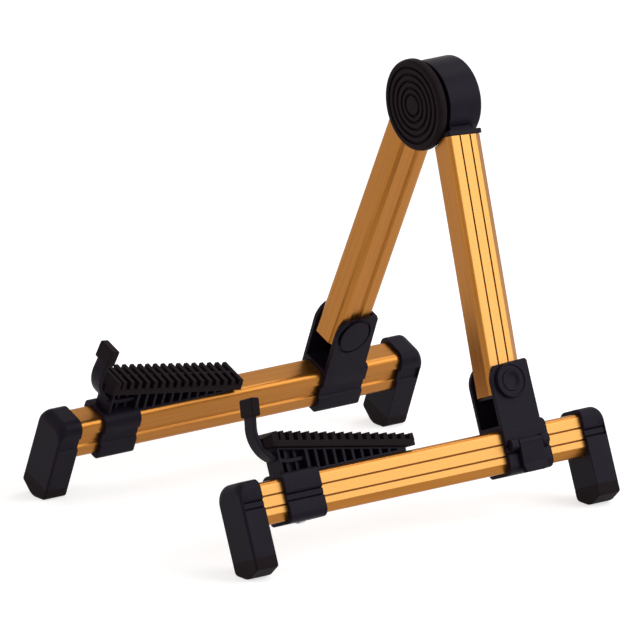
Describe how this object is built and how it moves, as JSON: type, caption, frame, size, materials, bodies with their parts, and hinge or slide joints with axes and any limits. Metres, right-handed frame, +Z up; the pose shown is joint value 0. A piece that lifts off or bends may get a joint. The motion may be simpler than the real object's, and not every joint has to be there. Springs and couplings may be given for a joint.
{
  "type": "folding guitar stand",
  "caption": "Folding guitar stand: aluminium uprights meet at a round padded hub and stand in brackets on long rails with toothed hook cradles and rubber-soled feet.",
  "frame": {"origin": "on the floor under the middle of the stand's own box: midway between the two halves and midway between the ends of the front and rear feet", "axes": "+X to the half on the right as seen by someone facing the front, +Y to the rear along the rails, +Z up"},
  "size_m": [0.2906, 0.335, 0.3219],
  "materials": {
    "gold_aluminium": "gold-orange anodised, fine blasted grain",
    "black_plastic": "moulded, satin",
    "black_rubber": "matte moulded rubber",
    "zinc_steel": "zinc plated"
  },
  "bodies": {
    "right_upright": {"right_upright": "gold_aluminium", "right_end_plug": "black_plastic", "right_head_screw": "zinc_steel", "drum_head": "black_plastic", "hub_bolt": "zinc_steel", "hub_washer": "zinc_steel", "hub_nut": "zinc_steel", "hub_rear_cap": "black_plastic"},
    "left_upright": {"left_upright": "gold_aluminium", "left_end_plug": "black_plastic", "left_head_screw": "zinc_steel", "carrier_head": "black_plastic", "hub_pad": "black_rubber"},
    "right_bracket": {"right_bracket": "black_plastic", "right_pivot_pin": "zinc_steel", "right_outer_cap": "black_plastic", "right_inner_cap": "black_plastic", "right_lever_pin": "zinc_steel"},
    "left_bracket": {"left_bracket": "black_plastic", "left_pivot_pin": "zinc_steel", "left_outer_cap": "black_plastic", "left_inner_cap": "black_plastic", "left_lever_pin": "zinc_steel"},
    "right_lever": {"right_clamp_lever": "black_plastic"},
    "left_lever": {"left_clamp_lever": "black_plastic"},
    "right_rail": {"right_rail": "gold_aluminium", "right_front_foot": "black_plastic", "right_front_sole": "black_rubber", "right_rear_foot": "black_plastic", "right_rear_sole": "black_rubber", "right_cradle": "black_plastic", "right_cradle_pad": "black_rubber", "right_hook_tip": "black_rubber", "right_cradle_screw": "zinc_steel"},
    "left_rail": {"left_rail": "gold_aluminium", "left_front_foot": "black_plastic", "left_front_sole": "black_rubber", "left_rear_foot": "black_plastic", "left_rear_sole": "black_rubber", "left_cradle": "black_plastic", "left_cradle_pad": "black_rubber", "left_hook_tip": "black_rubber", "left_cradle_screw": "zinc_steel"}
  },
  "joints": [
    {"name": "hub_spread", "type": "hinge", "parent": "right_upright", "child": "left_upright", "pos_m": [0, 0.107, 0.28744], "axis": [0, -1, 0], "range_deg": [0, 43.5]},
    {"name": "right_fold", "type": "hinge", "parent": "right_upright", "child": "right_bracket", "pos_m": [0.09542, 0.0914, 0.09518], "axis": [-0.9272, 0, -0.3746], "range_deg": [0, 79]},
    {"name": "left_fold", "type": "hinge", "parent": "left_upright", "child": "left_bracket", "pos_m": [-0.09542, 0.0914, 0.09518], "axis": [-0.9272, 0, 0.3746], "range_deg": [0, 79]},
    {"name": "right_slide", "type": "slide", "parent": "right_bracket", "child": "right_rail", "axis": [0, -1, 0], "range_m": [-0.077, 0.032]},
    {"name": "left_slide", "type": "slide", "parent": "left_bracket", "child": "left_rail", "axis": [0, -1, 0], "range_m": [-0.077, 0.032]},
    {"name": "right_clamp", "type": "hinge", "parent": "right_bracket", "child": "right_lever", "pos_m": [0.12837, 0.0949, 0.05835], "axis": [0, -1, 0], "range_deg": [0, 70]},
    {"name": "left_clamp", "type": "hinge", "parent": "left_bracket", "child": "left_lever", "pos_m": [-0.12837, 0.0949, 0.05835], "axis": [0, 1, 0], "range_deg": [0, 70]}
  ]
}
